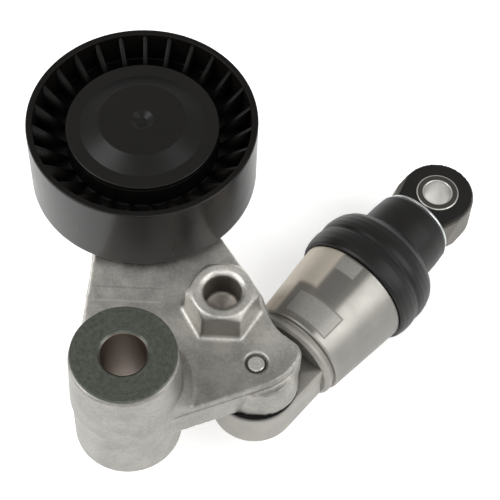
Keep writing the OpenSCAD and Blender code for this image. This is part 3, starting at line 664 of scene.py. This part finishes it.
# %% The wheel's rim, web and hub
wheel_top, wheel_foot = wheel_high.z / MM, wheel_low.z / MM
RIM_IN, HUB_OUT, HUB_IN, LIP_IN = wheel_r / MM - 1.9, 21.5, 20.0, 18.6
HALF_WEB = 1.4
web_mid = (wheel_top + wheel_foot) / 2
seat = wheel_top - 4
wheel_line = [
    (LIP_IN, wheel_foot + 2.6), (HUB_OUT, wheel_foot + 2.6), (HUB_OUT, web_mid - HALF_WEB),
    (RIM_IN, web_mid - HALF_WEB), (RIM_IN, wheel_foot), (wheel_r / MM, wheel_foot),
    (wheel_r / MM, wheel_top), (RIM_IN, wheel_top), (RIM_IN, web_mid + HALF_WEB),
    (HUB_OUT, web_mid + HALF_WEB), (HUB_OUT, seat), (HUB_IN, seat),
    (HUB_IN, wheel_foot + 4), (LIP_IN, wheel_foot + 4),
]
wheel = spin("pulley_body", soften(wheel_line, 0.5), wheel_axis, black_nylon, 192)

# %% One gusset, standing on +X, with its top edge rounded
HALF_GUSSET, GUSSET_TALL = 0.55, 11.5
gusset = bmesh.new()
for side in (1, -1):
    outline = [
        (HUB_OUT - 0.4, web_mid - side * 0.2), (RIM_IN + 0.5, web_mid - side * 0.2),
        (RIM_IN + 0.5, web_mid + side * GUSSET_TALL), (RIM_IN, web_mid + side * GUSSET_TALL),
        (HUB_OUT - 0.4, web_mid + side * 1.9),
    ]
    walls = []
    for y in (-HALF_GUSSET, HALF_GUSSET):
        walls.append([gusset.verts.new((x * MM, y * MM, z * MM)) for x, z in outline])
    gusset.faces.new(walls[0])
    gusset.faces.new(walls[1][::-1])
    for k in range(len(outline)):
        m = (k + 1) % len(outline)
        gusset.faces.new([walls[0][k], walls[0][m], walls[1][m], walls[1][k]])
crest = [e for e in gusset.edges if abs(e.verts[0].co.z - e.verts[1].co.z) > 3 * MM
    and abs(e.verts[0].co.x - e.verts[1].co.x) > 3 * MM]
bmesh.ops.bevel(gusset, geom=crest, offset=0.4 * MM, segments=3, affect="EDGES")
rib = keep("gusset", gusset, Matrix.Identity(4), black_nylon)

# %% A tree that turns a copy of its geometry to each of N angles
ring_tree = bpy.data.node_groups.new("ring_of_copies", "GeometryNodeTree")
face = ring_tree.interface
face.new_socket("Geometry", in_out="INPUT", socket_type="NodeSocketGeometry")
for socket, kind in (
        ("Count", "NodeSocketInt"), ("First angle", "NodeSocketFloat"),
        ("Centre", "NodeSocketVector"), ("Finish", "NodeSocketMaterial")):
    face.new_socket(socket, in_out="INPUT", socket_type=kind)
face.new_socket("Geometry", in_out="OUTPUT", socket_type="NodeSocketGeometry")
given = add(ring_tree, "NodeGroupInput").outputs
spots = add(ring_tree, "GeometryNodePoints", {"Count": given["Count"], "Position": given["Centre"]})
step = add(ring_tree, "ShaderNodeMath", {0: 2 * math.pi, 1: given["Count"]}, operation="DIVIDE")
number = add(ring_tree, "GeometryNodeInputIndex")
swing = add(ring_tree, "ShaderNodeMath",
    {0: number.outputs[0], 1: step.outputs[0], 2: given["First angle"]}, operation="MULTIPLY_ADD")
euler = add(ring_tree, "ShaderNodeCombineXYZ", {"Z": swing.outputs[0]})
turned_by = add(ring_tree, "FunctionNodeEulerToRotation", {"Euler": euler.outputs[0]})
copies = add(ring_tree, "GeometryNodeInstanceOnPoints",
    {"Points": spots.outputs[0], "Instance": given["Geometry"], "Rotation": turned_by.outputs[0]})
solid = add(ring_tree, "GeometryNodeRealizeInstances", {"Geometry": copies.outputs[0]})
coated = add(ring_tree, "GeometryNodeSetMaterial", {"Geometry": solid.outputs[0],
    "Material": given["Finish"]})
add(ring_tree, "NodeGroupOutput", {"Geometry": coated.outputs[0]})
print(ring_tree.name, "has", len(ring_tree.nodes), "nodes")


# %% Run a tree on an object, and keep the plain mesh it makes
def grow(obj, tree, values):
    """Evaluates obj through a Geometry Nodes tree with the named inputs, and returns the mesh."""
    modifier = obj.modifiers.new("grow", "NODES")
    modifier.node_group = tree
    ids = {s.name: s.identifier for s in tree.interface.items_tree if s.in_out == "INPUT"}
    for name, value in values.items():
        modifier[ids[name]] = value
    bpy.context.view_layer.update()
    graph = bpy.context.evaluated_depsgraph_get()
    made = bpy.data.meshes.new_from_object(obj.evaluated_get(graph))
    obj.modifiers.remove(modifier)
    return made


RIB_COUNT, RIB_START = 27, 92.5
ribs = grow(rib, ring_tree, {"Count": RIB_COUNT, "First angle": math.radians(RIB_START),
    "Centre": tuple(wheel_axis.translation), "Finish": black_nylon})
join(wheel, ribs)
bpy.data.objects.remove(rib)
stand_for(wheel, "pulley", "black_nylon", "pulley_wheel")

# %% The same tree sets the bearing's eight balls round its pitch circle
low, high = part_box("bearing_balls")
BALL_COUNT, PITCH_R = 8, 14.25
ball_r = (high.z - low.z) / 2
ball = bmesh.new()
bmesh.ops.create_icosphere(ball, subdivisions=4, radius=ball_r)
bmesh.ops.translate(ball, verts=ball.verts, vec=(PITCH_R * MM, 0, (low.z + high.z) / 2))
balls = keep("bearing_balls_ground", ball, Matrix.Identity(4), ground_steel)
balls.data = grow(balls, ring_tree, {"Count": BALL_COUNT, "First angle": 0.0,
    "Centre": tuple(wheel_axis.translation), "Finish": ground_steel})
stand_for(balls, "ball_set", "bearing_steel", "bearing_balls")

# %% [markdown]
# ## The dust cap
# The cap is a stepped disc pressed over the bearing's seat: a flat brim, a cone, a raised flat top
# and a small gate dimple in the middle where the plastic was injected. It is spun like the wheel,
# with a fine lip on its brim that draws the thin bright line round it.

# %% Spin the dust cap
cap_low, cap_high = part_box("dust_cap")
cap_top = cap_high.z / MM
brim = cap_top - 2.6
cap_r = (cap_high.x - cap_low.x) / 2 / MM
WALL, SKIRT = 1.5, 5.3
cap_line = [
    (0, cap_top - 2.5), (3.4, cap_top - 2.5), (3.4, cap_top - WALL), (11.6, cap_top - WALL),
    (16.4, brim - WALL), (LIP_IN, brim - WALL), (LIP_IN, brim - SKIRT), (HUB_IN, brim - SKIRT),
    (HUB_IN, brim - WALL), (cap_r, brim - WALL), (cap_r, brim), (17.6, brim), (12.25, cap_top),
    (3.3, cap_top), (1.3, cap_top - 1), (0, cap_top - 1),
]
cap = spin("dust_cap_moulding", soften(cap_line, 0.5), wheel_axis, cap_nylon)
stand_for(cap, "pulley", "grey_black_nylon", "dust_cap")

# %% [markdown]
# ## The pivot sleeve
# Only the sleeve's flange and its bore show. The flange is faced, its rim has a small chamfer, and
# the bore's mouth is chamfered for the bolt.

# %% Spin the pivot sleeve
sleeve_low, sleeve_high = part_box("pivot_sleeve")
tall = sleeve_high.z / MM
flange_r = sleeve_high.x / MM
FLANGE, SLEEVE_R, BORE_R = 0.6, 9.5, 6.25
sleeve_line = [
    (BORE_R, 0), (SLEEVE_R - 0.4, 0), (SLEEVE_R, 0.4), (SLEEVE_R, tall - FLANGE), (flange_r, tall - FLANGE),
    (flange_r, tall - 0.25), (flange_r - 0.25, tall), (BORE_R + 0.6, tall), (BORE_R, tall - 0.6),
]
sleeve = spin("pivot_sleeve_turned", soften(sleeve_line, 0.12, 3), pivot_axis, faced_steel)
stand_for(sleeve, "pivot", "machined_steel", "pivot_sleeve")

# %% [markdown]
# ## The cast arm
# A casting has no sharp corner outside or inside: every edge is rounded and every junction is
# blended. Bevelling each CAD edge by hand would be slow and fragile. Remeshing a copy of the CAD
# solid on a fine grid and smoothing it rounds all of them at once, by about the same small radius,
# which is what a mould does.

# %% Round the casting's corners
def recast(name, node, voxel, rounds, finish):
    """A copy of a CAD node with its corners rounded by remeshing and smoothing."""
    data = parts[node].data.copy()
    data.name = name
    made = bpy.data.objects.new(name, data)
    scene.collection.objects.link(made)
    clean = bmesh.new()
    clean.from_mesh(data)
    bmesh.ops.remove_doubles(clean, verts=clean.verts, dist=0.002 * MM)
    clean.to_mesh(data)
    clean.free()
    grid = made.modifiers.new("grid", "REMESH")
    grid.mode = "VOXEL"
    grid.voxel_size = voxel
    ease = made.modifiers.new("ease", "SMOOTH")
    ease.factor = 0.5
    ease.iterations = rounds
    bpy.context.view_layer.update()
    graph = bpy.context.evaluated_depsgraph_get()
    mesh = bpy.data.meshes.new_from_object(made.evaluated_get(graph))
    made.modifiers.clear()
    made.data = mesh
    mesh.materials.clear()
    mesh.materials.append(finish)
    for face in mesh.polygons:
        face.use_smooth = True
        face.material_index = 0
    return made


arm = recast("arm_die_casting", "arm_casting", 0.5 * MM, 5, cast_alu)
stand_for(arm, "arm", "cast_aluminium", "arm_casting")

# %% [markdown]
# ## The strut's pin and cylinder
# The pin is cut from ground bar and lightly chamfered, and a dark ring of painted shade on its
# chamfer stands for the shadow in the arm's countersunk hole. The cylinder is one casting, but it is
# made here as two shells that overlap, the way a modeller would think of it: a spun barrel with a
# groove at its closed end, and an ear with a rounded end, lofted round the pin's hole.

# %% Spin the pin
pin_low, pin_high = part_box("strut_pin")
foot, head = pin_low.z / MM, pin_high.z / MM
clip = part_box("pin_clip")
clip_low, clip_high = clip[0].z / MM, clip[1].z / MM
pin_line = [
    (0, foot), (2.1, foot), (2.9, foot + 0.8), (3, clip_low), (2.5, clip_low),
    (2.5, clip_high), (3, clip_high), (3, head - 0.9), (2.1, head), (0, head),
]
pin_axis = Matrix.Translation((pin.x, pin.y, 0))
ground_pin = spin("strut_pin_turned", soften(pin_line, 0.15, 3), pin_axis, pin_steel, 64)
stand_for(ground_pin, "arm", "zinc_plated_steel", "strut_pin")

# %% Spin the barrel
barrel_line = [
    (0, 15.2), (13.4, 15.2), (14.3, 16.1), (14.4, 17.3), (13.6, 17.4), (13.6, 18.5), (14.7, 18.6),
    (15, 19.1), (17.4, 44.5), (16.4, 44.5), (16.4, 47), (12.6, 47), (12.6, 21.5), (0, 21.5),
]
barrel_shell = spin("strut_cylinder_body", soften(barrel_line, 0.3), strut_axis, turned_alu, 192)

# %% Loft the ear: straight sides into the barrel, a round end, a chamfer below and a soft edge above
EAR_R, EAR_END, HOLE_R = 12.2, 16.8, 4.24
EAR_LOW, EAR_HIGH = 3.6 - 6.8, 3.6 + 6.8


def ear_ring(inset, z):
    """The ear's outline drawn in by an inset, with points spread so that it can be lofted."""
    r = EAR_R - inset
    points = [(r * math.cos(math.radians(a)), r * math.sin(math.radians(a)), z) for a in range(90, 271, 5)]
    points += [(EAR_END * t / 6, -r, z) for t in range(1, 7)]
    points += [(EAR_END, r * t / 6, z) for t in range(-5, 6)]
    points += [(EAR_END * t / 6, r, z) for t in range(6, 0, -1)]
    return points


def hole_ring(z):
    """The pin's hole with one point in the direction of each point of the outline."""
    return [(x / math.hypot(x, y) * HOLE_R, y / math.hypot(x, y) * HOLE_R, z) for x, y, z in ear_ring(0, z)]


low_edge = [(1.5, 0), (1.3, 0.05), (0.2, 1.2), (0.05, 1.45), (0, 1.8)]
high_edge = [(0, 1.2), (0, 0.8), (0.06, 0.5), (0.25, 0.2), (0.5, 0.05), (0.8, 0)]
ear_rings = [hole_ring(EAR_LOW)] + [ear_ring(i, EAR_LOW + z) for i, z in low_edge]
ear_rings += [ear_ring(i, EAR_HIGH - z) for i, z in high_edge] + [hole_ring(EAR_HIGH)]
ear_axis = pin_axis @ Matrix.Rotation(math.atan2(along.y, along.x), 4, "Z")
ear = loft("ear", ear_rings, ear_axis, turned_alu)
join(barrel_shell, ear.data)
bpy.data.objects.remove(ear)
stand_for(barrel_shell, "cylinder", "turned_aluminium", "strut_cylinder")

# %% [markdown]
# ## The strut's rod end
# The rod end is an aluminium head with a crosswise eye. A rubber bush with a flat black face on each
# side is bonded into the eye, round a steel sleeve for the bolt. Head and rubber are cast and moulded
# shapes, so they are rounded by the same remeshing as the arm. Sleeve and clamp ring are spun.

# %% Round the head and the rubber bush, then spin the sleeve and the boot's clamp ring
rod_end = recast("rod_head_casting", "rod_head", 0.35 * MM, 3, turned_alu)
stand_for(rod_end, "rod", "turned_aluminium", "rod_head")
bush = recast("eye_rubber_moulding", "eye_rubber", 0.3 * MM, 3, rubber)
stand_for(bush, "rod", "black_rubber", "eye_rubber")
eye_axis = Matrix.Translation(eye_centre)
lo, hi = eye_low.z / MM, eye_high.z / MM
eye_line = [(4.1, lo), (6.4, lo), (6.4, hi), (4.1, hi)]
eye = spin("eye_sleeve_turned", soften(eye_line, 0.4), eye_axis, eye_steel, 96)
stand_for(eye, "rod", "zinc_plated_steel", "eye_sleeve")
clamp_line = [(9.8, 75.2), (11.3, 75.2), (11.3, 76), (9.8, 76)]
clamp = spin("boot_ring_pressed", soften(clamp_line, 0.25), strut_axis, zinc)
stand_for(clamp, "rod", "zinc_plated_steel", "boot_ring")

# %% [markdown]
# ## The strut's boot and springs
# The boot is a rubber sleeve, wide over the cylinder and drawn in to a cuff on the rod. It shortens
# towards its clamped lip as the rod goes in. Its outline is spun from a close set of points, with a
# shallow groove round the bulge and a bead where the cuff begins.

# %% Spin the rubber boot
BOOT_FOOT, BOOT_LIP, STROKE = 44.6, 75.2, 12
boot_line = [
    (16.45, BOOT_FOOT), (18.1, BOOT_FOOT), (18.6, 45.3), (19, 47), (19.1, 49.2), (18.9, 50.9),
    (18.5, 51.9), (18.9, 52.9), (19, 54.4), (18.7, 56.4), (18.1, 58.4), (17.1, 60), (15.6, 61.2),
    (14, 62), (13.2, 62.35), (13.1, 62.9), (12.7, 63.2), (12.6, 66), (12.5, 70), (12.1, 74),
    (11.4, BOOT_LIP), (9.8, BOOT_LIP), (9.8, 64.2), (11.9, 63.4), (11.9, 61), (13.6, 60),
    (15.4, 58.6), (16.6, 56.4), (17.2, 53), (17.2, 48), (16.45, 47),
]
boot = spin("rubber_boot_moulding", soften(boot_line, 0.6), strut_axis, rubber, 160)
stand_for(boot, "cylinder", "black_rubber", "rubber_boot")
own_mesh(boot)

# %% A tree that coils a wire
coil_tree = bpy.data.node_groups.new("wire_coil", "GeometryNodeTree")
face = coil_tree.interface
face.new_socket("Geometry", in_out="INPUT", socket_type="NodeSocketGeometry")
for socket, kind in (
        ("Turns", "NodeSocketFloat"), ("Radius", "NodeSocketFloat"), ("Wire radius", "NodeSocketFloat"),
        ("Height", "NodeSocketFloat"), ("Steps per turn", "NodeSocketInt"),
        ("Finish", "NodeSocketMaterial")):
    face.new_socket(socket, in_out="INPUT", socket_type=kind)
face.new_socket("Geometry", in_out="OUTPUT", socket_type="NodeSocketGeometry")
given = add(coil_tree, "NodeGroupInput").outputs
path = add(coil_tree, "GeometryNodeCurveSpiral", {
    "Resolution": given["Steps per turn"], "Rotations": given["Turns"], "Height": given["Height"],
    "Start Radius": given["Radius"], "End Radius": given["Radius"], "Reverse": True})
wire = add(coil_tree, "GeometryNodeCurvePrimitiveCircle", {"Resolution": 12,
    "Radius": given["Wire radius"]})
tube = add(coil_tree, "GeometryNodeCurveToMesh",
    {"Curve": path.outputs[0], "Profile Curve": wire.outputs[0], "Fill Caps": True})
solid = add(coil_tree, "GeometryNodeRealizeInstances", {"Geometry": tube.outputs[0]})
coated = add(coil_tree, "GeometryNodeSetMaterial", {"Geometry": solid.outputs[0],
    "Material": given["Finish"]})
add(coil_tree, "NodeGroupOutput", {"Geometry": coated.outputs[0]})
print(coil_tree.name, "has", len(coil_tree.nodes), "nodes")


# %% Coil the return spring and the little valve spring
def coil(name, turns, radius, wire_r, foot, height, steps, finish):
    """A coil spring on the strut's axis. Sizes in mm."""
    made = bpy.data.objects.new(name, bpy.data.meshes.new(name))
    scene.collection.objects.link(made)
    made.data = grow(made, coil_tree, {
        "Turns": float(turns), "Radius": radius * MM, "Wire radius": wire_r * MM,
        "Height": (height - 2 * wire_r) * MM, "Steps per turn": steps, "Finish": finish})
    mesh = bmesh.new()
    mesh.from_mesh(made.data)
    bmesh.ops.remove_doubles(mesh, verts=mesh.verts, dist=0.001 * MM)
    bmesh.ops.transform(mesh, matrix=strut_axis @ Matrix.Translation((0, 0, (foot + wire_r) * MM)),
        verts=mesh.verts)
    bmesh.ops.recalc_face_normals(mesh, faces=mesh.faces)
    for f in mesh.faces:
        f.smooth = True
    mesh.to_mesh(made.data)
    mesh.free()
    return made


SPRING_FOOT, SPRING_TOP = 21.5, 61.6
VALVE_FOOT, VALVE_TOP, LIFT = 25.46, 27.7, 0.4
spring = coil("return_spring_coil", 7, 10.1, 1.1, SPRING_FOOT, SPRING_TOP - SPRING_FOOT, 48, spring_steel)
stand_for(spring, "cylinder", "spring_steel", "return_spring")
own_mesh(spring)
valve_coil = coil("valve_spring_coil", 3, 1.5, 0.16, VALVE_FOOT, VALVE_TOP - VALVE_FOOT, 36, spring_steel)
stand_for(valve_coil, "cylinder", "spring_steel", "valve_spring")
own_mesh(valve_coil)
